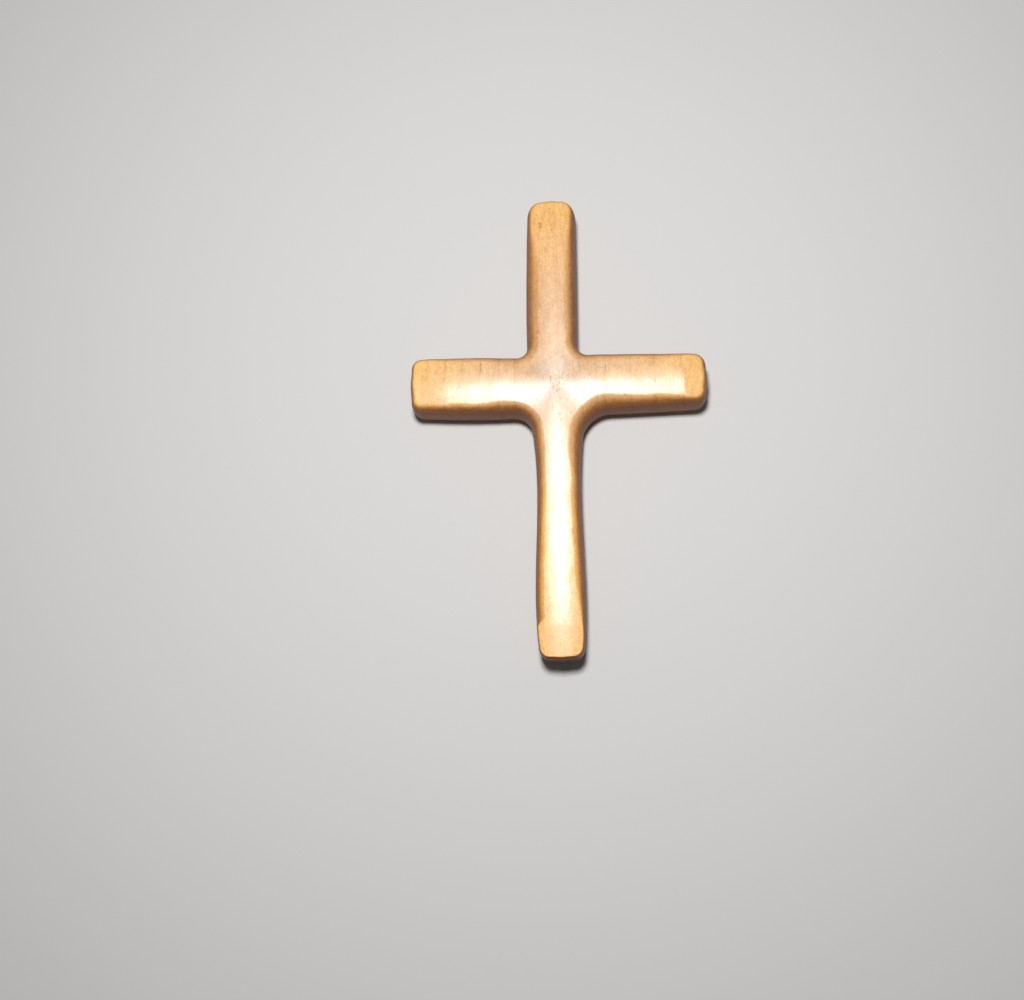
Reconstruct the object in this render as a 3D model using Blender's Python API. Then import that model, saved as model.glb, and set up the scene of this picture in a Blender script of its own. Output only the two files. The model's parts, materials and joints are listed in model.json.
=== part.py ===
"""A small hand-carved wooden cross: an upright and a crossbar, halved into each other.

The cross lies on its flat back. +X runs along the crossbar, +Y runs up the upright to
its head, and +Z comes out of the crowned front face. The origin is the middle of the
outline, on the surface that the back rests on. Everything is in metres.

The two pieces start as strips of the same wood, BLANK_WIDTH wide. Each is notched half
through where they cross, and the outline, the crown and the round edges are carved
after they are glued. So the carving is modelled once, as a whole, and each piece is
the wood of that carving that its own notched strip holds.
"""
import math

import bmesh
import bpy
import numpy as np

MM = 0.001

# Driving dimensions
HEIGHT = 55.9 * MM
SPAN = 35.8 * MM
THICKNESS = 6.6 * MM
CROSSING_ABOVE_FOOT = 33.1 * MM
CROSSING_FROM_LEFT = 17.65 * MM
BLANK_WIDTH = 9.8 * MM
JOINT_GAP = 0.3 * MM

# Carving of the front and the sides. A side is widest at one height, and rounds in from
# there as half of an oval to the front, and as another to the back.
CROWN_RADIUS = 15.0 * MM
WIDEST_HEIGHT = 2.6 * MM
FRONT_ROUND_WIDTH = 1.3 * MM
BACK_ROUND_WIDTH = 1.2 * MM

# Mesh steps: along a side, across an arm, and up each part of a side
FILLET_STEPS = 4
SIDE_STEPS = 8
CORNER_STEPS = 3
END_STEPS = 4
FRONT_ROUND_STEPS = 6
BACK_ROUND_STEPS = 4

# Finish: satin, with smooth shading over every edge flatter than SHARP_ANGLE
SHARP_ANGLE = math.radians(35)
WOOD_ROUGHNESS = 0.36
UPRIGHT_COLOUR = (0.68, 0.37, 0.13)
CROSSBAR_COLOUR = (0.70, 0.39, 0.14)

CROSSING = np.array([-SPAN / 2 + CROSSING_FROM_LEFT, -HEIGHT / 2 + CROSSING_ABOVE_FOOT])
JOINT_HALF = BLANK_WIDTH / 2
CLEARANCE = JOINT_GAP / 2
MERGE_DISTANCE = 1e-7

# The four arms, anticlockwise. An arm's clockwise side comes first and its
# anticlockwise side second: (distance from the crossing, half width, half width).
# The first pair of half widths holds from the fillets on. The fillet is the one
# between the arm's anticlockwise side and the next arm.
ARMS = [
    # Right
    {"heading": (1, 0), "reach": SPAN - CROSSING_FROM_LEFT, "root": (3.40, 3.63),
     "widths": [(10.5, 3.32, 3.50), (16.0, 3.18, 3.26)],
     "corner": 1.6, "bow": 0.12, "fillet": 1.2},
    # Head
    {"heading": (0, 1), "reach": HEIGHT - CROSSING_ABOVE_FOOT, "root": (2.70, 3.50),
     "widths": [(12.0, 2.76, 3.46), (20.0, 2.82, 3.20)],
     "corner": 1.8, "bow": 0.08, "fillet": 1.2},
    # Left
    {"heading": (-1, 0), "reach": CROSSING_FROM_LEFT, "root": (3.50, 3.60),
     "widths": [(11.5, 3.66, 3.52), (15.5, 3.60, 3.30)],
     "corner": 1.4, "bow": 0.12, "fillet": 2.3},
    # Foot
    {"heading": (0, -1), "reach": CROSSING_ABOVE_FOOT, "root": (3.00, 3.03),
     "widths": [(12.5, 2.62, 2.74), (20.0, 2.86, 2.88), (29.0, 2.95, 2.92)],
     "corner": 1.4, "bow": 0.08, "fillet": 3.5},
]


def side_curve(arm, side, start):
    """Half width of one side of an arm, as a polynomial of the distance along it."""
    distances = [start] + [row[0] * MM for row in arm["widths"]]
    halves = [arm["root"][side] * MM] + [row[1 + side] * MM for row in arm["widths"]]
    return np.poly1d(np.polyfit(distances, halves, len(distances) - 1))


def side_points(arm, side, neighbour_half, fillet):
    """One side of an arm, root to tip, as (distance, half width).

    It is half of the root fillet, the long side, and half of the round end corner.
    """
    root_half = arm["root"][side] * MM
    start = neighbour_half + fillet
    half_width = side_curve(arm, side, start)
    corner = arm["corner"] * MM
    corner_start = arm["reach"] - corner - arm["bow"] * MM
    points = []
    for angle in np.linspace(math.pi / 4, 0, FILLET_STEPS + 1):
        points.append((start - fillet * math.sin(angle),
                       root_half + fillet * (1 - math.cos(angle))))
    for distance in np.linspace(start, corner_start, SIDE_STEPS + 1)[1:]:
        points.append((distance, half_width(distance)))
    tip_half = half_width(corner_start)
    for angle in np.linspace(0, math.pi / 4, CORNER_STEPS + 1)[1:]:
        points.append((corner_start + corner * math.sin(angle),
                       tip_half - corner * (1 - math.cos(angle))))
    return points


def end_points(arm, clockwise_tip, anticlockwise_tip):
    """The end of an arm as (distance, offset), between the middles of its corners."""
    corner = arm["corner"] * MM
    bow = arm["bow"] * MM
    base = arm["reach"] - bow
    cut = corner * (1 - math.sin(math.pi / 4))
    low = -(clockwise_tip + cut) + corner
    high = anticlockwise_tip + cut - corner
    points = []
    for angle in np.linspace(math.pi / 4, math.pi / 2, CORNER_STEPS + 1)[1:]:
        points.append((base - corner * (1 - math.sin(angle)), low - corner * math.cos(angle)))
    for share in np.linspace(0, 1, END_STEPS + 1)[1:]:
        points.append((base + bow * math.sin(math.pi * share) ** 2, low + (high - low) * share))
    for angle in np.linspace(math.pi / 2, math.pi / 4, CORNER_STEPS + 1)[1:-1]:
        points.append((base - corner * (1 - math.sin(angle)), high + corner * math.cos(angle)))
    return points


def plan_outline():
    """The carved outline, anticlockwise: every arm's side, end and other side."""
    points = []
    for index, arm in enumerate(ARMS):
        before = ARMS[index - 1]
        after = ARMS[(index + 1) % len(ARMS)]
        out = side_points(arm, 0, before["root"][1] * MM, before["fillet"] * MM)
        back = side_points(arm, 1, after["root"][0] * MM, arm["fillet"] * MM)
        local = [(distance, -half) for distance, half in out]
        local += end_points(arm, out[-1][1], back[-1][1])
        local += reversed(back)
        along = np.array(arm["heading"], float)
        across = np.array([-along[1], along[0]])
        for distance, offset in local[:-1]:
            points.append(CROSSING + distance * along + offset * across)
    return np.array(points)


def inset_outline(outline, inset):
    """The outline moved inwards by one distance all round."""
    tangent = np.roll(outline, -1, axis=0) - np.roll(outline, 1, axis=0)
    tangent /= np.linalg.norm(tangent, axis=1)[:, None]
    outward = np.stack([tangent[:, 1], -tangent[:, 0]], axis=1)
    return outline - inset * outward


def front_height(plan):
    """Height of the crowned front: each arm is a shallow barrel along its length."""
    x_squared = (plan[..., 0] - CROSSING[0]) ** 2
    y_squared = (plan[..., 1] - CROSSING[1]) ** 2
    sag = x_squared * y_squared / (x_squared + y_squared + MERGE_DISTANCE ** 2)
    return THICKNESS - sag / (2 * CROWN_RADIUS)


def lift(plan, height):
    """Plan points with their heights, as points in space."""
    return np.concatenate([plan, np.broadcast_to(height, plan.shape[:-1])[..., None]], axis=-1)


def add_grid(mesh, rows):
    """Add a grid of four-sided faces through rows of points."""
    vertices = [[mesh.verts.new(point) for point in row] for row in rows]
    for row, next_row in zip(vertices, vertices[1:]):
        for step in range(len(row) - 1):
            mesh.faces.new((row[step], row[step + 1], next_row[step + 1], next_row[step]))


def filled_patch(bottom, top, left, right):
    """Points of a four-sided patch whose edges are the four given rows of points."""
    v = np.linspace(0, 1, len(left))[:, None, None]
    u = np.linspace(0, 1, len(bottom))[None, :, None]
    between_rows = (1 - v) * bottom[None] + v * top[None]
    between_columns = (1 - u) * left[:, None] + u * right[:, None]
    corners = ((1 - v) * ((1 - u) * bottom[0] + u * bottom[-1])
               + v * ((1 - u) * top[0] + u * top[-1]))
    return between_rows + between_columns - corners


def front_grids(rim):
    """The front inside its rim, as grids of points: four arms and the square between."""
    side = FILLET_STEPS + SIDE_STEPS + CORNER_STEPS
    end = 2 * CORNER_STEPS + END_STEPS
    per_arm = 2 * side + end
    closed_rim = np.concatenate([rim, rim[:1]])
    patches = []
    roots = []
    for index in range(len(ARMS)):
        arm = closed_rim[index * per_arm:(index + 1) * per_arm + 1]
        root = np.linspace(arm[0], arm[-1], end + 1)
        roots.append(root)
        patches.append(filled_patch(root, arm[side:side + end + 1],
                                    arm[:side + 1], arm[side + end:][::-1]))
    right, head, left, foot = roots
    patches.append(filled_patch(foot, head[::-1], left[::-1], right))
    return [lift(patch, front_height(patch)) for patch in patches]


def side_rings(outline):
    """Rings of points round the sides, from the rim of the front to that of the back."""
    rings = []
    for angle in np.linspace(0, math.pi / 2, FRONT_ROUND_STEPS + 1):
        plan = inset_outline(outline, FRONT_ROUND_WIDTH * (1 - math.sin(angle)))
        rise = front_height(plan) - WIDEST_HEIGHT
        rings.append(lift(plan, WIDEST_HEIGHT + rise * math.cos(angle)))
    for angle in np.linspace(math.pi / 2, 0, BACK_ROUND_STEPS + 1)[1:]:
        plan = inset_outline(outline, BACK_ROUND_WIDTH * (1 - math.sin(angle)))
        rings.append(lift(plan, WIDEST_HEIGHT * (1 - math.cos(angle))))
    return rings


def carved_cross():
    """The whole carved cross as one closed bmesh: its front, its sides and a flat back."""
    mesh = bmesh.new()
    rings = side_rings(plan_outline())
    for grid in front_grids(rings[0][:, :2]):
        add_grid(mesh, grid)
    add_grid(mesh, [np.concatenate([ring, ring[:1]]) for ring in rings])
    mesh.faces.new([mesh.verts.new(point) for point in rings[-1]])
    bmesh.ops.remove_doubles(mesh, verts=mesh.verts, dist=MERGE_DISTANCE)
    bmesh.ops.recalc_face_normals(mesh, faces=mesh.faces)
    return mesh


def notched_strip(along, across, mouth, notch_floor, far_face):
    """A strip of wood with a notch as wide as the other strip, as a closed bmesh.

    along and across are the plan directions of its length and its width. The notch
    opens at the height mouth and ends at notch_floor. The strip's far face is beyond.
    """
    mesh = bmesh.new()
    notch = JOINT_HALF + CLEARANCE
    profile = [(-HEIGHT, mouth), (-notch, mouth), (-notch, notch_floor), (notch, notch_floor),
               (notch, mouth), (HEIGHT, mouth), (HEIGHT, far_face), (-HEIGHT, far_face)]
    sides = []
    for offset in (CLEARANCE - JOINT_HALF, JOINT_HALF - CLEARANCE):
        side = []
        for distance, height in profile:
            plan = CROSSING + distance * along + offset * across
            side.append(mesh.verts.new((plan[0], plan[1], height)))
        sides.append(side)
        mesh.faces.new(side)
    near, far = sides
    for index in range(len(profile)):
        mesh.faces.new((near[index - 1], near[index], far[index], far[index - 1]))
    bmesh.ops.recalc_face_normals(mesh, faces=mesh.faces)
    return mesh


def wood(name, colour):
    """A satin-finished wood."""
    material = bpy.data.materials.new(name)
    material.use_nodes = True
    shader = material.node_tree.nodes["Principled BSDF"]
    shader.inputs["Base Color"].default_value = (*colour, 1.0)
    shader.inputs["Roughness"].default_value = WOOD_ROUGHNESS
    shader.inputs["Metallic"].default_value = 0.0
    return material


def add_object(name, mesh):
    """Put a bmesh into the scene as an object."""
    data = bpy.data.meshes.new(name)
    mesh.to_mesh(data)
    mesh.free()
    thing = bpy.data.objects.new(name, data)
    bpy.context.scene.collection.objects.link(thing)
    return thing


def add_piece(name, strip, material):
    """One piece of the cross: the part of the carving that its strip holds."""
    blank = add_object(name + "_blank", strip)
    blank.display_type = "WIRE"
    blank.hide_render = True
    piece = add_object(name, carved_cross())
    piece.data.materials.append(material)
    piece.data.shade_smooth()
    piece.data.set_sharp_from_angle(angle=SHARP_ANGLE)
    cut = piece.modifiers.new("blank", "BOOLEAN")
    cut.operation = "INTERSECT"
    cut.solver = "EXACT"
    cut.object = blank


def build():
    """Make the two pieces. The upright keeps the front half of the joint."""
    for thing in list(bpy.data.objects):
        bpy.data.objects.remove(thing)
    east = np.array([1.0, 0.0])
    north = np.array([0.0, 1.0])
    below = -THICKNESS
    above = 2 * THICKNESS
    middle = THICKNESS / 2
    add_piece("upright", notched_strip(north, east, below, middle + CLEARANCE, above),
              wood("upright_wood", UPRIGHT_COLOUR))
    add_piece("crossbar", notched_strip(east, north, above, middle - CLEARANCE, below),
              wood("crossbar_wood", CROSSBAR_COLOUR))


build()
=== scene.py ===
"""The looks of a small hand-carved wooden cross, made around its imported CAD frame.

The cross lies on its flat back on a pale floor: +X along the crossbar, +Y up the upright
to its head, +Z out of the crowned front. Two carved pieces of wood, the upright and the
crossbar, stand for the plain CAD solids. As on the real thing, the carving is made as a
whole, and each piece is the wood that its own notched strip holds.
"""
import itertools
import json
import math

import bmesh
import bpy
import numpy as np
from mathutils import Matrix, Vector

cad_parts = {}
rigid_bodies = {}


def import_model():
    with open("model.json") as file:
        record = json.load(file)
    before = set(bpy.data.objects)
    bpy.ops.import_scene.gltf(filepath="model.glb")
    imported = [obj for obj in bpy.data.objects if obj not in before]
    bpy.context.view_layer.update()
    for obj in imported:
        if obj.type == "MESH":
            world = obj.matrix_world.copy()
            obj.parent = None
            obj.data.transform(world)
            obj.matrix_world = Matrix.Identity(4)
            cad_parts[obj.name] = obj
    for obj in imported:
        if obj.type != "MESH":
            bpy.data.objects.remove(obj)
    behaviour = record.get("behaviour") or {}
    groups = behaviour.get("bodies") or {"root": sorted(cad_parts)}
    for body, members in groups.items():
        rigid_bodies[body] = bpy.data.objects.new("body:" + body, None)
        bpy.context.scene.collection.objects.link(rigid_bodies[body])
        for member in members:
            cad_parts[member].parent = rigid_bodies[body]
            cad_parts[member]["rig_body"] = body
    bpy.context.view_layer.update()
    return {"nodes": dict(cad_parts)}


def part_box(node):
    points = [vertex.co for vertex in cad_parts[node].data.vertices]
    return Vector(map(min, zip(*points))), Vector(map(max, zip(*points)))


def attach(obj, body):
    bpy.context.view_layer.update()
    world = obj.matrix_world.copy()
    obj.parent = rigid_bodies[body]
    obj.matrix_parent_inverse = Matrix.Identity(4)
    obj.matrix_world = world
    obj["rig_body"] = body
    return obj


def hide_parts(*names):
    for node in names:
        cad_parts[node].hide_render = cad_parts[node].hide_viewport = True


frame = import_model()

MM = 0.001

# Sizes and places from the frame
UPRIGHT_LOW, UPRIGHT_HIGH = (np.array(corner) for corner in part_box("upright"))
CROSSBAR_LOW, CROSSBAR_HIGH = (np.array(corner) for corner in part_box("crossbar"))
HEIGHT = UPRIGHT_HIGH[1] - UPRIGHT_LOW[1]
THICKNESS = UPRIGHT_HIGH[2]
CROSSING = np.array([(UPRIGHT_LOW[0] + UPRIGHT_HIGH[0]) / 2,
                     (CROSSBAR_LOW[1] + CROSSBAR_HIGH[1]) / 2])
REACH = {"right": CROSSBAR_HIGH[0] - CROSSING[0], "head": UPRIGHT_HIGH[1] - CROSSING[1],
         "left": CROSSING[0] - CROSSBAR_LOW[0], "foot": CROSSING[1] - UPRIGHT_LOW[1]}
CAD_GAP = 0.3 * MM
JOINT_HALF = (UPRIGHT_HIGH[0] - UPRIGHT_LOW[0] + CAD_GAP) / 2

# The glued joint shows as a hairline
GLUE_LINE = 0.016 * MM

# Carving
CROWN_RADIUS = 15.0 * MM
WIDEST_HEIGHT = 2.6 * MM
ROUND_BLEND = 5.0 * MM
EDGE_SOFTNESS = 2.6
RIM_WANDER = 0.08
BACK_ROUND = 1.2 * MM
BACK_SQUARENESS = 0.8
SANDING_DEPTH = 0.05 * MM
NICK_DEPTH = 0.04 * MM
MERGE_DISTANCE = 0.001 * MM

# Growth rings, in millimetres from the crossing
FIRST_RING = -15.1
FIRST_RING_GAP = 1.95
RING_GROWTH = 1.045

# The wood's colours where it is light, between, and dark
UPRIGHT_TONE = ((0.71, 0.420, 0.138), (0.57, 0.295, 0.084), (0.20, 0.085, 0.027))
CROSSBAR_TONE = ((0.74, 0.455, 0.155), (0.60, 0.325, 0.097), (0.21, 0.09, 0.029))

# What multiplies the wood's colour: where it is handled, a painted sheen over handling wear; about
# the crossing, grime with a painted reflection;
# on the rounded side, painted shade with some handling patina; on the wall under it, painted shade;
# and on end grain
HANDLED_SHEEN_TINT = (0.72, 0.76, 1.30)
GRIME_AND_REFLECTION_TINT = (0.70, 0.76, 1.02)
SIDE_SHADE_TINT = (0.74, 0.50, 0.26)
WALL_SHADE_TINT = (0.50, 0.38, 0.28)
END_TINT = (0.66, 0.52, 0.42)

# Marks on the front, in millimetres from the crossing: centre, radii, and turn in radians
# The handled spot is a painted sheen over handling wear; the grime spot is grime with a painted
# reflection.
HANDLED_SHEEN_SPOT = ((0.0, 2.0), (22.0, 24.0), 0.0)
GRIME_AND_REFLECTION_SPOT = ((0.0, -0.3), (4.6, 5.5), 0.0)
CRACKED_SPOT = ((0.1, -0.4), (1.1, 1.9), 0.1)
STREAK_SPOT = ((-1.4, 19.2), (0.30, 1.2), 0.03)
BARE_SPOT = ((-0.7, 6.1), (0.24, 0.34), 0.3)
EASING_SPOT = ((15.3, 0.4), (0.14, 3.2), 0.0)
SCRATCHED_SPOT = ((5.6, 1.4), (2.6, 0.8), 0.0)

# Floor, light and camera. Lamp and camera places are in millimetres from the crossing.
FLOOR_HALF = 3.0
FLOOR_COLOUR = (0.47, 0.46, 0.45)
FLOOR_ROUGHNESS = 0.8
KEY_PLACE = (-4, 11, 190)
KEY_SIZE = 26 * MM
KEY_WATTS = 0.50
SURROUND_COLOUR = (0.93, 0.95, 1.0)
SURROUND_STRENGTH = 0.12
CAMERA_PLACE = (5.5, -46.3, 190.0)
CAMERA_TARGET = (-5.8, -13.2, 0.0)
CAMERA_ROLL = math.radians(-1.0)
CAMERA_LENS = 55.9
CAMERA_SENSOR = 36.0
CAMERA_CLIP = 0.01

# Mesh steps
STEP = 0.16 * MM
FILLET_STEPS = 12
CORNER_STEPS = 7
END_STEPS = 26
FRONT_EDGE_STEPS = 26
BACK_EDGE_STEPS = 14
FEWEST_SIDE_STEPS = 8
STEPS_LEFT_TO_ROOT = 14
SHARP_ANGLE = math.radians(40)

# The four arms, anticlockwise, in millimetres. A clockwise side comes before an
# anticlockwise side: the half widths at the root, then rows of distance from the
# crossing and half widths. Round is how wide the front is rounded on both sides, at the
# tip, and in the fillet between the anticlockwise side and the next arm. Narrows gives,
# for both sides, the distances between which the rounding shrinks to the tip's. Easing
# is where sanding eased the end of the front: its distance from the crossing, its slope
# in degrees, and how softly it starts.
ARMS = [
    {"name": "right", "heading": (1, 0), "root": (3.40, 3.63),
     "widths": [(10.5, 3.32, 3.50), (16.0, 3.18, 3.26)], "corner": 1.6, "bow": 0.12,
     "round": (1.30, 1.35, 0.90), "narrows": ((12.5, 16.4), (12.5, 16.4)),
     "fillet": 1.2, "fillet_round": 1.6, "easing": (15.3, 8.0, 0.1)},
    {"name": "head", "heading": (0, 1), "root": (2.70, 3.50),
     "widths": [(12.0, 2.76, 3.46), (20.0, 2.82, 3.20)], "corner": 1.8, "bow": 0.08,
     "round": (1.60, 1.90, 0.80), "narrows": ((15.0, 21.5), (13.0, 20.5)),
     "fillet": 1.2, "fillet_round": 1.7, "easing": (19.0, 3.0, 0.8)},
    {"name": "left", "heading": (-1, 0), "root": (3.50, 3.60),
     "widths": [(11.5, 3.66, 3.52), (15.5, 3.60, 3.30)], "corner": 1.4, "bow": 0.12,
     "round": (1.30, 1.05, 0.85), "narrows": ((10.5, 16.5), (12.0, 16.0)),
     "fillet": 2.3, "fillet_round": 1.4, "easing": (13.6, 5.0, 1.4)},
    {"name": "foot", "heading": (0, -1), "root": (3.00, 3.03),
     "widths": [(12.5, 2.62, 2.74), (20.0, 2.86, 2.88), (29.0, 2.95, 2.92)],
     "corner": 1.4, "bow": 0.08, "round": (1.25, 1.20, 0.32),
     "narrows": ((28.2, 29.3), (24.0, 31.0)),
     "fillet": 3.5, "fillet_round": 1.75, "easing": (29.0, 2.5, 1.0)},
]


# --- Outline -------------------------------------------------------------------------

def smooth(share):
    """A smooth step from 0 to 1."""
    share = np.clip(share, 0, 1)
    return share * share * (3 - 2 * share)


def side_steps(arm):
    """How many steps the long side of an arm takes."""
    steps = round(REACH[arm["name"]] / STEP)
    return max(FEWEST_SIDE_STEPS, steps - FILLET_STEPS - CORNER_STEPS - STEPS_LEFT_TO_ROOT)


def side_points(arm, side, neighbour_half, fillet, fillet_round):
    """One side of an arm, root to tip: rows of distance, half width, and rounding.

    It is half of the root fillet, the long side, and half of the round end corner.
    """
    root_half = arm["root"][side] * MM
    start = neighbour_half + fillet
    stations = [start] + [row[0] * MM for row in arm["widths"]]
    halves = [root_half] + [row[1 + side] * MM for row in arm["widths"]]
    half_width = np.poly1d(np.polyfit(stations, halves, len(stations) - 1))
    corner = arm["corner"] * MM
    corner_start = REACH[arm["name"]] - corner - arm["bow"] * MM

    turn = np.linspace(math.pi / 4, 0, FILLET_STEPS + 1)
    run = np.linspace(start, corner_start, side_steps(arm) + 1)[1:]
    close = np.linspace(0, math.pi / 4, CORNER_STEPS + 1)[1:]
    tip_half = half_width(corner_start)
    distance = np.concatenate([start - fillet * np.sin(turn), run,
                               corner_start + corner * np.sin(close)])
    half = np.concatenate([root_half + fillet * (1 - np.cos(turn)), half_width(run),
                           tip_half - corner * (1 - np.cos(close))])
    side_round = arm["round"][side] * MM
    rounding = fillet_round + (side_round - fillet_round) * smooth((distance - start) / ROUND_BLEND)
    first, last = arm["narrows"][side]
    narrowed = smooth((distance / MM - first) / (last - first))
    rounding += (arm["round"][2] * MM - rounding) * narrowed
    return np.column_stack([distance, half, rounding])


def end_points(arm, clockwise_tip, anticlockwise_tip):
    """The end of an arm between its corners: rows of distance, offset, and rounding."""
    corner = arm["corner"] * MM
    bow = arm["bow"] * MM
    base = REACH[arm["name"]] - bow
    cut = corner * (1 - math.sin(math.pi / 4))
    low = -(clockwise_tip + cut) + corner
    high = anticlockwise_tip + cut - corner
    turn = np.linspace(math.pi / 4, math.pi / 2, CORNER_STEPS + 1)[1:]
    share = np.linspace(0, 1, END_STEPS + 1)[1:]
    back = turn[::-1][1:]
    distance = np.concatenate([base - corner * (1 - np.sin(turn)),
                               base + bow * np.sin(math.pi * share) ** 2,
                               base - corner * (1 - np.sin(back))])
    offset = np.concatenate([low - corner * np.cos(turn), low + (high - low) * share,
                             high + corner * np.cos(back)])
    return np.column_stack([distance, offset, np.full(len(offset), arm["round"][2] * MM)])


def carved_outline():
    """The carved outline, anticlockwise, and how wide the front is rounded there."""
    plan = []
    widths = []
    for index, arm in enumerate(ARMS):
        before = ARMS[index - 1]
        after = ARMS[(index + 1) % len(ARMS)]
        out = side_points(arm, 0, before["root"][1] * MM, before["fillet"] * MM,
                          before["fillet_round"] * MM)
        back = side_points(arm, 1, after["root"][0] * MM, arm["fillet"] * MM,
                           arm["fillet_round"] * MM)[::-1]
        end = end_points(arm, out[-1][1], back[0][1])
        local = np.concatenate([out * (1, -1, 1), end, back])[:-1]
        along = np.array(arm["heading"], float)
        across = np.array([-along[1], along[0]])
        plan.append(CROSSING + local[:, :1] * along + local[:, 1:2] * across)
        widths.append(local[:, 2])
    return np.concatenate(plan), np.concatenate(widths)


def outward_normals(outline):
    """Unit vectors that point out of the outline at each of its points."""
    tangent = np.roll(outline, -1, axis=0) - np.roll(outline, 1, axis=0)
    tangent /= np.linalg.norm(tangent, axis=1)[:, None]
    return np.stack([tangent[:, 1], -tangent[:, 0]], axis=1)


# --- Carved surface ------------------------------------------------------------------

def front_height(plan):
    """Height of the front: arms crowned like shallow barrels, with their ends eased."""
    from_crossing = plan - CROSSING
    squares = from_crossing ** 2
    sag = squares[..., 0] * squares[..., 1] / (squares.sum(axis=-1) + MERGE_DISTANCE ** 2)
    height = THICKNESS - sag / (2 * CROWN_RADIUS)
    for arm in ARMS:
        start, slope, softness = arm["easing"]
        beyond = (from_crossing @ np.array(arm["heading"], float)) / MM - start
        eased = (beyond + np.sqrt(beyond ** 2 + softness ** 2)) / 2
        height = height - math.tan(math.radians(slope)) * eased * MM
    return height


def lift(plan, height):
    """Plan points with their heights, as points in space."""
    return np.concatenate([plan, np.broadcast_to(height, plan.shape[:-1])[..., None]], axis=-1)


def filled_patch(bottom, top, left, right):
    """Points of a four-sided patch whose edges are the four given rows of points."""
    v = np.linspace(0, 1, len(left))[:, None, None]
    u = np.linspace(0, 1, len(bottom))[None, :, None]
    between_rows = (1 - v) * bottom[None] + v * top[None]
    between_columns = (1 - u) * left[:, None] + u * right[:, None]
    corners = ((1 - v) * ((1 - u) * bottom[0] + u * bottom[-1])
               + v * ((1 - u) * top[0] + u * top[-1]))
    return between_rows + between_columns - corners


def face_patches(rim):
    """The face inside a rim as patches of plan points: four arms and their crossing."""
    across = 2 * CORNER_STEPS + END_STEPS
    closed_rim = np.concatenate([rim, rim[:1]])
    patches = []
    roots = []
    start = 0
    for arm in ARMS:
        side = FILLET_STEPS + side_steps(arm) + CORNER_STEPS
        points = closed_rim[start:start + 2 * side + across + 1]
        start += 2 * side + across
        root = np.linspace(points[0], points[-1], across + 1)
        roots.append(root)
        patches.append(filled_patch(root, points[side:side + across + 1],
                                    points[:side + 1], points[side + across:][::-1]))
    right, head, left, foot = roots
    patches.append(filled_patch(foot, head[::-1], left[::-1], right))
    return patches


def edge_rings(outline, widths):
    """Rings round the carving, from the front's rim over the side to the back's rim.

    The side bulges: it is widest a little below the middle of the thickness, rounds in
    slowly to the front and quickly to the back.
    """
    outward = outward_normals(outline)
    wander = smooth_noise(lift(outline, 0.0) / MM / 1.7, 5)
    widths = widths * (1 + RIM_WANDER * wander)
    rings = []
    for angle in np.linspace(0, math.pi / 2, FRONT_EDGE_STEPS + 1):
        inset = widths * (1 - math.sin(angle) ** (2 / EDGE_SOFTNESS))
        plan = outline - inset[:, None] * outward
        rim = front_height(plan)
        rings.append(lift(plan, rim - (rim - WIDEST_HEIGHT) * (1 - math.cos(angle))))
    for angle in np.linspace(math.pi / 2, 0, BACK_EDGE_STEPS + 1)[1:]:
        plan = outline - BACK_ROUND * (1 - math.sin(angle)) * outward
        rings.append(lift(plan, WIDEST_HEIGHT * (1 - math.cos(angle) ** BACK_SQUARENESS)))
    return rings


def grids_to_mesh(name, grids):
    """One mesh from grids of points, joined where they meet, with faces pointing out."""
    points = []
    faces = []
    count = 0
    for grid in grids:
        rows, columns = grid.shape[:2]
        index = count + np.arange(rows * columns).reshape(rows, columns)
        faces.append(np.stack([index[:-1, :-1], index[:-1, 1:], index[1:, 1:], index[1:, :-1]],
                              axis=-1).reshape(-1, 4))
        points.append(grid.reshape(-1, 3))
        count += rows * columns
    mesh = bpy.data.meshes.new(name)
    mesh.from_pydata(np.concatenate(points).tolist(), [], np.concatenate(faces).tolist())
    shape = bmesh.new()
    shape.from_mesh(mesh)
    bmesh.ops.remove_doubles(shape, verts=shape.verts, dist=MERGE_DISTANCE)
    bmesh.ops.recalc_face_normals(shape, faces=shape.faces)
    shape.to_mesh(mesh)
    shape.free()
    return mesh


def smooth_noise(points, seed):
    """Smooth noise from -1 to 1, about one bump to each unit of length."""
    cell = np.floor(points).astype(np.int64)
    blend = smooth(points - cell)
    total = np.zeros(len(points))
    for corner in itertools.product((0, 1), repeat=3):
        key = (cell + corner) @ np.array([73856093, 19349663, 83492791]) + seed * 7919
        key = (key ^ (key >> 13)) * 1274126177 % 4294967296
        key ^= key >> 16
        weight = np.prod(np.where(corner, blend, 1 - blend), axis=1)
        total += weight * ((key % 65536) / 32767.5 - 1)
    return total


def sand_by_hand(mesh):
    """Lower the surface here and there, as hand sanding does. It is never raised."""
    places = np.empty(len(mesh.vertices) * 3)
    mesh.vertices.foreach_get("co", places)
    places = places.reshape(-1, 3)
    normals = np.empty(len(mesh.vertices) * 3)
    mesh.vertices.foreach_get("normal", normals)
    normals = normals.reshape(-1, 3)
    broad = smooth_noise(places / MM / (4.5, 6.5, 4.5), 3)
    knife = smooth_noise(places / MM / (1.5, 2.3, 1.6), 11)
    grit = smooth_noise(places / MM / (0.55, 0.8, 0.6), 17)
    depth = SANDING_DEPTH * np.clip(0.5 + 0.26 * broad + 0.18 * knife + 0.05 * grit, 0, 1)
    nicks = np.clip(smooth_noise(places / MM / (0.5, 0.5, 0.7), 23) * 2.2 - 1.2, 0, 1)
    rim = smooth((normals[:, 2] - 0.45) / 0.2) * smooth((0.985 - normals[:, 2]) / 0.03)
    depth += NICK_DEPTH * nicks * rim
    mesh.vertices.foreach_set("co", (places - depth[:, None] * normals).ravel())
    mesh.update()


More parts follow.
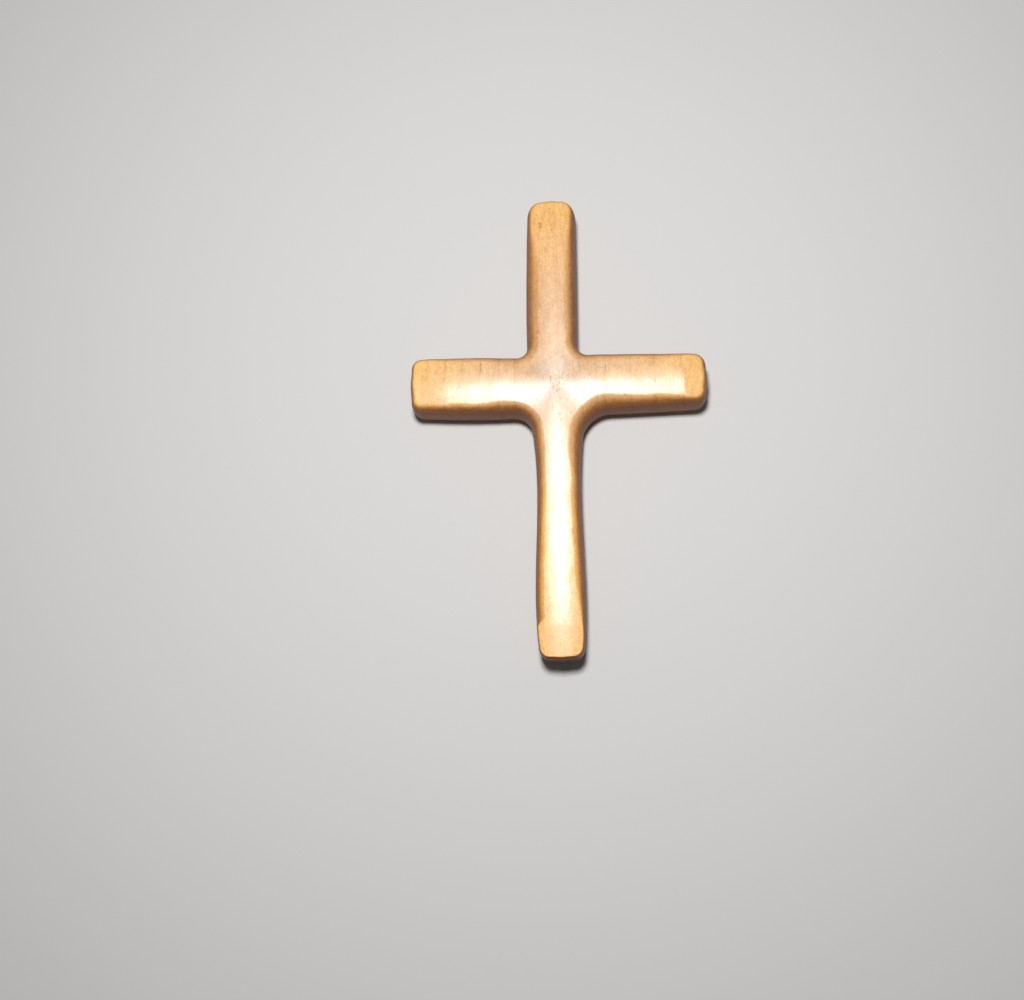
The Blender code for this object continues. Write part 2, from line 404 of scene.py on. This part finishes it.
def carving():
    """The whole carved cross as one closed mesh."""
    rings = edge_rings(*carved_outline())
    grids = [lift(patch, front_height(patch)) for patch in face_patches(rings[0][:, :2])]
    grids += [lift(patch, 0.0) for patch in face_patches(rings[-1][:, :2])]
    grids.append(np.stack([np.concatenate([ring, ring[:1]]) for ring in rings]))
    mesh = grids_to_mesh("carving", grids)
    sand_by_hand(mesh)
    return mesh


# --- The two pieces ------------------------------------------------------------------

def add_object(name, mesh):
    """Put a mesh into the scene as an object."""
    thing = bpy.data.objects.new(name, mesh)
    bpy.context.scene.collection.objects.link(thing)
    return thing


def notched_strip(along, across, mouth, notch_floor, far_face):
    """A strip of wood with a notch as wide as the other strip, as a closed mesh."""
    shape = bmesh.new()
    notch = JOINT_HALF + GLUE_LINE / 2
    half = JOINT_HALF - GLUE_LINE / 2
    profile = [(-HEIGHT, mouth), (-notch, mouth), (-notch, notch_floor), (notch, notch_floor),
               (notch, mouth), (HEIGHT, mouth), (HEIGHT, far_face), (-HEIGHT, far_face)]
    sides = []
    for offset in (-half, half):
        side = []
        for distance, height in profile:
            plan = CROSSING + distance * along + offset * across
            side.append(shape.verts.new((plan[0], plan[1], height)))
        sides.append(side)
        shape.faces.new(side)
    near, far = sides
    for index in range(len(profile)):
        shape.faces.new((near[index - 1], near[index], far[index], far[index - 1]))
    bmesh.ops.recalc_face_normals(shape, faces=shape.faces)
    mesh = bpy.data.meshes.new("strip")
    shape.to_mesh(mesh)
    shape.free()
    return mesh


def add_piece(name, node, whole, strip, material):
    """One carved piece: the part of the whole carving that its strip holds."""
    cutter = add_object("strip", strip)
    uncut = add_object("uncut", whole.copy())
    cut = uncut.modifiers.new("cut", "BOOLEAN")
    cut.operation = "INTERSECT"
    cut.solver = "EXACT"
    cut.object = cutter
    view_layer = bpy.context.evaluated_depsgraph_get()
    mesh = bpy.data.meshes.new_from_object(uncut.evaluated_get(view_layer))
    bpy.data.objects.remove(uncut)
    bpy.data.objects.remove(cutter)
    mesh.name = name
    mesh.materials.clear()
    mesh.materials.append(material)
    mesh.shade_smooth()
    mesh.set_sharp_from_angle(angle=SHARP_ANGLE)
    piece = add_object(name, mesh)
    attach(piece, frame_body(node))
    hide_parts(node)
    return piece


def frame_body(node):
    """The body that a CAD node rides on."""
    return frame["nodes"][node]["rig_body"]


# --- Wood ----------------------------------------------------------------------------

class Tree:
    """Short ways to add nodes to a material."""

    def __init__(self, name):
        self.material = bpy.data.materials.new(name)
        self.material.use_nodes = True
        self.nodes = self.material.node_tree.nodes
        self.links = self.material.node_tree.links
        self.shader = self.nodes["Principled BSDF"]

    def plug(self, socket, value):
        """Link a socket to another node's output, or give it a fixed value."""
        if isinstance(value, bpy.types.NodeSocket):
            self.links.new(value, socket)
        elif isinstance(value, tuple) and socket.type == "RGBA":
            socket.default_value = (*value, 1.0)
        else:
            socket.default_value = value

    def add(self, kind, inputs=None, **settings):
        """Add a node with its settings, and plug its inputs by name or by number."""
        node = self.nodes.new("ShaderNode" + kind)
        for key, value in settings.items():
            setattr(node, key, value)
        for key, value in (inputs or {}).items():
            self.plug(node.inputs[key], value)
        return node

    def math(self, operation, first, second=0.0):
        """The result of one sum."""
        return self.add("Math", {0: first, 1: second}, operation=operation).outputs[0]

    def weighted(self, terms, offset):
        """The sum of weighted values, and an offset."""
        total = offset
        for value, weight in terms:
            total = self.add("Math", {0: value, 1: weight, 2: total},
                             operation="MULTIPLY_ADD").outputs[0]
        return total

    def moved(self, vector, offset):
        """A vector with an offset added."""
        node = self.add("VectorMath", {0: vector, 1: offset}, operation="ADD")
        return node.outputs[0]

    def spot(self, place, centre, radii, turn):
        """A soft oval mark on the front, 1 at its centre: centre and radii in millimetres."""
        inputs = {"Vector": place, "Location": (*centre, THICKNESS / MM),
                  "Rotation": (0.0, 0.0, turn), "Scale": (*radii, THICKNESS / MM / 2)}
        local = self.add("Mapping", inputs, vector_type="TEXTURE").outputs[0]
        length = self.add("VectorMath", {0: local}, operation="LENGTH").outputs["Value"]
        return self.ramp(length, 0.2, 1.0, 1.0, 0.0)

    def scaled(self, vector, factors):
        """A vector with its three parts multiplied."""
        node = self.add("VectorMath", {0: vector, 1: factors}, operation="MULTIPLY")
        return node.outputs[0]

    def noise(self, vector, scale, detail=2.0, roughness=0.5):
        """Noise from 0 to 1 over a vector in millimetres, scale bumps to a millimetre."""
        inputs = {"Vector": self.scaled(vector, scale), "Scale": 1.0, "Detail": detail,
                  "Roughness": roughness}
        return self.add("TexNoise", inputs).outputs[0]

    def ramp(self, value, low, high, to_low=0.0, to_high=1.0):
        """A value stretched from one range to another, and held at its ends."""
        inputs = {"Value": value, "From Min": low, "From Max": high, "To Min": to_low,
                  "To Max": to_high}
        return self.add("MapRange", inputs, interpolation_type="SMOOTHSTEP").outputs[0]

    def mix(self, share, first, second, blend="MIX"):
        """Two colours mixed."""
        node = self.add("Mix", {0: share, 6: first, 7: second}, data_type="RGBA",
                        blend_type=blend)
        return node.outputs[2]


def growth_rings(tree, place):
    """Thin dark late-wood lines that run up the wood, a little wider apart to the right."""
    parts = tree.add("SeparateXYZ", {0: place})
    waver = tree.noise(place, (0.16, 0.07, 0.16), 1.0)
    across = tree.weighted([(parts.outputs["X"], 1.0), (parts.outputs["Z"], 0.12),
                            (waver, 1.2)], -0.6 - 0.12 * THICKNESS / MM)
    spread = (RING_GROWTH - 1) / FIRST_RING_GAP
    year = tree.math("LOGARITHM", tree.weighted([(across, spread)], 1 - FIRST_RING * spread),
                     RING_GROWTH)
    season = tree.math("FRACT", year)
    vigour = tree.add("TexWhiteNoise", {"W": tree.math("FLOOR", year)},
                      noise_dimensions="1D").outputs[0]
    line = tree.math("POWER", season, 18.0)
    line = tree.math("MULTIPLY", line, tree.ramp(vigour, 0.0, 1.0, 0.4, 1.0))
    patchy = tree.noise(place, (0.9, 0.25, 0.9), 2.0)
    line = tree.math("MULTIPLY", line, tree.ramp(patchy, 0.35, 0.65, 0.15, 1.0))
    off_centre = tree.math("ABSOLUTE", parts.outputs["X"])
    line = tree.math("MULTIPLY", line, tree.ramp(off_centre, 2.4, 4.4, 0.35, 1.0))
    return line, tree.math("POWER", season, 3.0)


def wood(name, tone):
    """Honey-coloured wood with its grain along Y, rubbed to a satin polish by hands."""
    tree = Tree(name)
    place = tree.add("TexCoord").outputs["Object"]
    place = tree.scaled(tree.moved(place, (-CROSSING[0], -CROSSING[1], 0.0)), (1 / MM,) * 3)
    parts = tree.add("SeparateXYZ", {0: place})
    normal = tree.add("SeparateXYZ", {0: tree.add("NewGeometry").outputs["Normal"]})
    line, late = growth_rings(tree, place)

    # Fibres, flecks and broad patches of colour.
    fibre = tree.noise(place, (4.5, 0.32, 4.5), 3.0, 0.6)
    fine_fibre = tree.noise(place, (15.0, 1.0, 15.0), 2.0, 0.6)
    patch = tree.noise(place, (0.28, 0.12, 0.28), 2.0)
    mottle = tree.noise(place, (1.6, 1.0, 1.6), 3.0, 0.65)
    fleck = tree.ramp(tree.noise(place, (11.0, 1.6, 11.0), 1.0), 0.64, 0.74)
    grit = tree.noise(place, (5.0, 2.8, 5.0), 3.0, 0.75)
    speck = tree.ramp(tree.noise(place, (4.4, 2.6, 4.4), 1.0, 0.7), 0.62, 0.74)

    # Marks of use and of the knife: short dark cracks about the crossing, grime there with a
    # painted reflection over it, a bare nick above it, a dark streak near the head, and on the
    # right arm scratches and the faint line where its easing starts.
    grime_reflection_spot = tree.spot(place, *GRIME_AND_REFLECTION_SPOT)
    heart = tree.spot(place, *CRACKED_SPOT)
    wander = tree.noise(place, (3.4, 0.9, 2.0), 3.0, 0.6)
    crack = tree.ramp(tree.math("ABSOLUTE", tree.weighted([(wander, 1.0)], -0.5)), 0.0, 0.016,
                      1.0, 0.0)
    broken = tree.ramp(tree.noise(place, (2.0, 2.0, 2.0), 1.0), 0.42, 0.58)
    crack = tree.math("MULTIPLY", tree.math("MULTIPLY", crack, heart), broken)
    streak = tree.spot(place, *STREAK_SPOT)
    streak = tree.math("MULTIPLY", streak, tree.ramp(grit, 0.40, 0.60))
    bare = tree.spot(place, *BARE_SPOT)
    easing_line = tree.spot(place, *EASING_SPOT)
    easing_line = tree.math("MULTIPLY", easing_line, tree.ramp(mottle, 0.35, 0.60))
    scratches = tree.ramp(tree.noise(place, (0.5, 9.0, 2.0), 1.0), 0.60, 0.72)
    scratches = tree.math("MULTIPLY", scratches, tree.spot(place, *SCRATCHED_SPOT))

    depth = tree.weighted(
        [(fibre, 0.50), (fine_fibre, 0.42), (patch, 0.50), (mottle, 0.70), (grit, 1.40),
         (late, 0.08), (line, 0.62), (fleck, 0.26), (speck, 0.34), (crack, 0.75),
         (streak, 0.42), (scratches, 0.22), (easing_line, 0.30), (bare, -0.70)], -1.34)
    light, middle, dark = tone
    colour = tree.mix(tree.ramp(depth, 0.10, 0.70), light, middle)
    colour = tree.mix(tree.ramp(depth, 0.62, 1.30), colour, dark)
    # Painted sheen: the handled middle is made less orange and bluer, standing in for the whitish
    # highlight on it, over some handling wear.
    handled_sheen = tree.math("MULTIPLY", tree.spot(place, *HANDLED_SHEEN_SPOT), 0.75)
    colour = tree.mix(handled_sheen, colour, HANDLED_SHEEN_TINT, "MULTIPLY")
    # Grime with a painted reflection: a mottled, greyer and bluer patch about the crossing.
    grime_and_reflection = tree.math("MULTIPLY", grime_reflection_spot, tree.ramp(mottle, 0.32, 0.66, 0.35, 1.0))
    colour = tree.mix(grime_and_reflection, colour, GRIME_AND_REFLECTION_TINT, "MULTIPLY")

    # Painted shade darkens the round sides, with some handling patina in it, and the wall under
    # them more; end grain drinks more oil.
    up = tree.math("ABSOLUTE", normal.outputs["Z"])
    shade_blotch = tree.weighted([(up, 1.0), (mottle, 0.60), (grit, 0.80)], -0.70)
    # Painted shade: the rounded side turns darker as its normal turns away from straight up.
    side = tree.ramp(shade_blotch, 0.40, 0.96, 1.0, 0.0)
    colour = tree.mix(side, colour, SIDE_SHADE_TINT, "MULTIPLY")
    # Painted shade: the steep wall under the rounding is darker still.
    wall_shade = tree.ramp(shade_blotch, 0.10, 0.62, 1.0, 0.0)
    colour = tree.mix(wall_shade, colour, WALL_SHADE_TINT, "MULTIPLY")
    end = tree.ramp(tree.math("ABSOLUTE", normal.outputs["Y"]), 0.80, 0.98)
    beyond = tree.ramp(tree.math("ABSOLUTE", parts.outputs["Y"]), 8.0, 12.0)
    end = tree.math("MULTIPLY", end, beyond)
    colour = tree.mix(tree.math("MULTIPLY", end, 0.5), colour, END_TINT, "MULTIPLY")
    tree.plug(tree.shader.inputs["Base Color"], colour)

    rough = tree.weighted([(tree.ramp(fine_fibre, 0.25, 0.75), 0.05), (end, 0.14),
                           (tree.ramp(grit, 0.3, 0.7), 0.03), (crack, 0.5), (speck, 0.05),
                           (side, 0.12)], 0.285)
    tree.plug(tree.shader.inputs["Roughness"], rough)
    shine = tree.ramp(side, 0.0, 1.0, 0.50, 0.18)
    tree.plug(tree.shader.inputs["Specular IOR Level"], shine)

    relief = tree.weighted([(fine_fibre, 0.5), (fibre, 0.5), (mottle, 0.7), (grit, 0.3),
                            (line, -0.5), (fleck, -0.5), (speck, -0.2), (crack, -2.5),
                            (streak, -0.6), (scratches, -0.8)], 0.0)
    bump = tree.add("Bump", {"Height": relief, "Strength": 0.5, "Distance": 0.007 * MM})
    tree.plug(tree.shader.inputs["Normal"], bump.outputs["Normal"])
    return tree.material


def make_cross():
    """Make the two pieces. The upright keeps the front half of the joint."""
    whole = carving()
    east = np.array([1.0, 0.0])
    north = np.array([0.0, 1.0])
    below = -THICKNESS
    above = 2 * THICKNESS
    middle = THICKNESS / 2
    add_piece("upright_carved", "upright", whole,
              notched_strip(north, east, below, middle + GLUE_LINE / 2, above),
              wood("upright_grain", UPRIGHT_TONE))
    add_piece("crossbar_carved", "crossbar", whole,
              notched_strip(east, north, above, middle - GLUE_LINE / 2, below),
              wood("crossbar_grain", CROSSBAR_TONE))
    bpy.data.meshes.remove(whole)


# --- Floor, light and camera ---------------------------------------------------------

def plain(name, colour, roughness):
    """A plain matt material."""
    tree = Tree(name)
    tree.shader.inputs["Base Color"].default_value = (*colour, 1.0)
    tree.shader.inputs["Roughness"].default_value = roughness
    return tree.material


def add_floor():
    """A plain pale floor, far wider than any view."""
    half = FLOOR_HALF
    mesh = bpy.data.meshes.new("floor")
    mesh.from_pydata([(-half, -half, 0), (half, -half, 0), (half, half, 0), (-half, half, 0)],
                     [], [(0, 1, 2, 3)])
    mesh.materials.append(plain("pale_floor", FLOOR_COLOUR, FLOOR_ROUGHNESS))
    add_object("floor", mesh)


def add_lamp(name, place, target, size, watts):
    """A square soft lamp that faces a target."""
    data = bpy.data.lights.new(name, "AREA")
    data.size = size
    data.energy = watts
    lamp = bpy.data.objects.new(name, data)
    bpy.context.scene.collection.objects.link(lamp)
    lamp.location = place
    lamp.rotation_euler = (Vector(target) - Vector(place)).to_track_quat("-Z", "Y").to_euler()


def add_lights():
    """A soft key above the head of the cross, and a pale surround."""
    crossing = Vector((*CROSSING, 0.0))
    add_lamp("key", crossing + Vector(KEY_PLACE) * MM, crossing, KEY_SIZE, KEY_WATTS)
    world = bpy.data.worlds.new("surround")
    world.use_nodes = True
    background = world.node_tree.nodes["Background"]
    background.inputs["Color"].default_value = (*SURROUND_COLOUR, 1.0)
    background.inputs["Strength"].default_value = SURROUND_STRENGTH
    bpy.context.scene.world = world


def add_camera():
    """A camera above and a little below the cross, turned slightly on its own axis."""
    data = bpy.data.cameras.new("camera")
    data.sensor_width = CAMERA_SENSOR
    data.lens = CAMERA_LENS
    data.clip_start = CAMERA_CLIP
    camera = bpy.data.objects.new("camera", data)
    bpy.context.scene.collection.objects.link(camera)
    crossing = Vector((*CROSSING, 0.0))
    place = crossing + Vector(CAMERA_PLACE) * MM
    target = crossing + Vector(CAMERA_TARGET) * MM
    back = (place - target).normalized()
    right = Vector((0, 1, 0)).cross(back).normalized()
    level = Matrix((right, back.cross(right), back)).transposed()
    turned = level @ Matrix.Rotation(CAMERA_ROLL, 3, "Z")
    camera.matrix_world = Matrix.Translation(place) @ turned.to_4x4()
    bpy.context.scene.camera = camera


make_cross()
add_floor()
add_lights()
add_camera()
bpy.context.scene.view_settings.view_transform = "Standard"
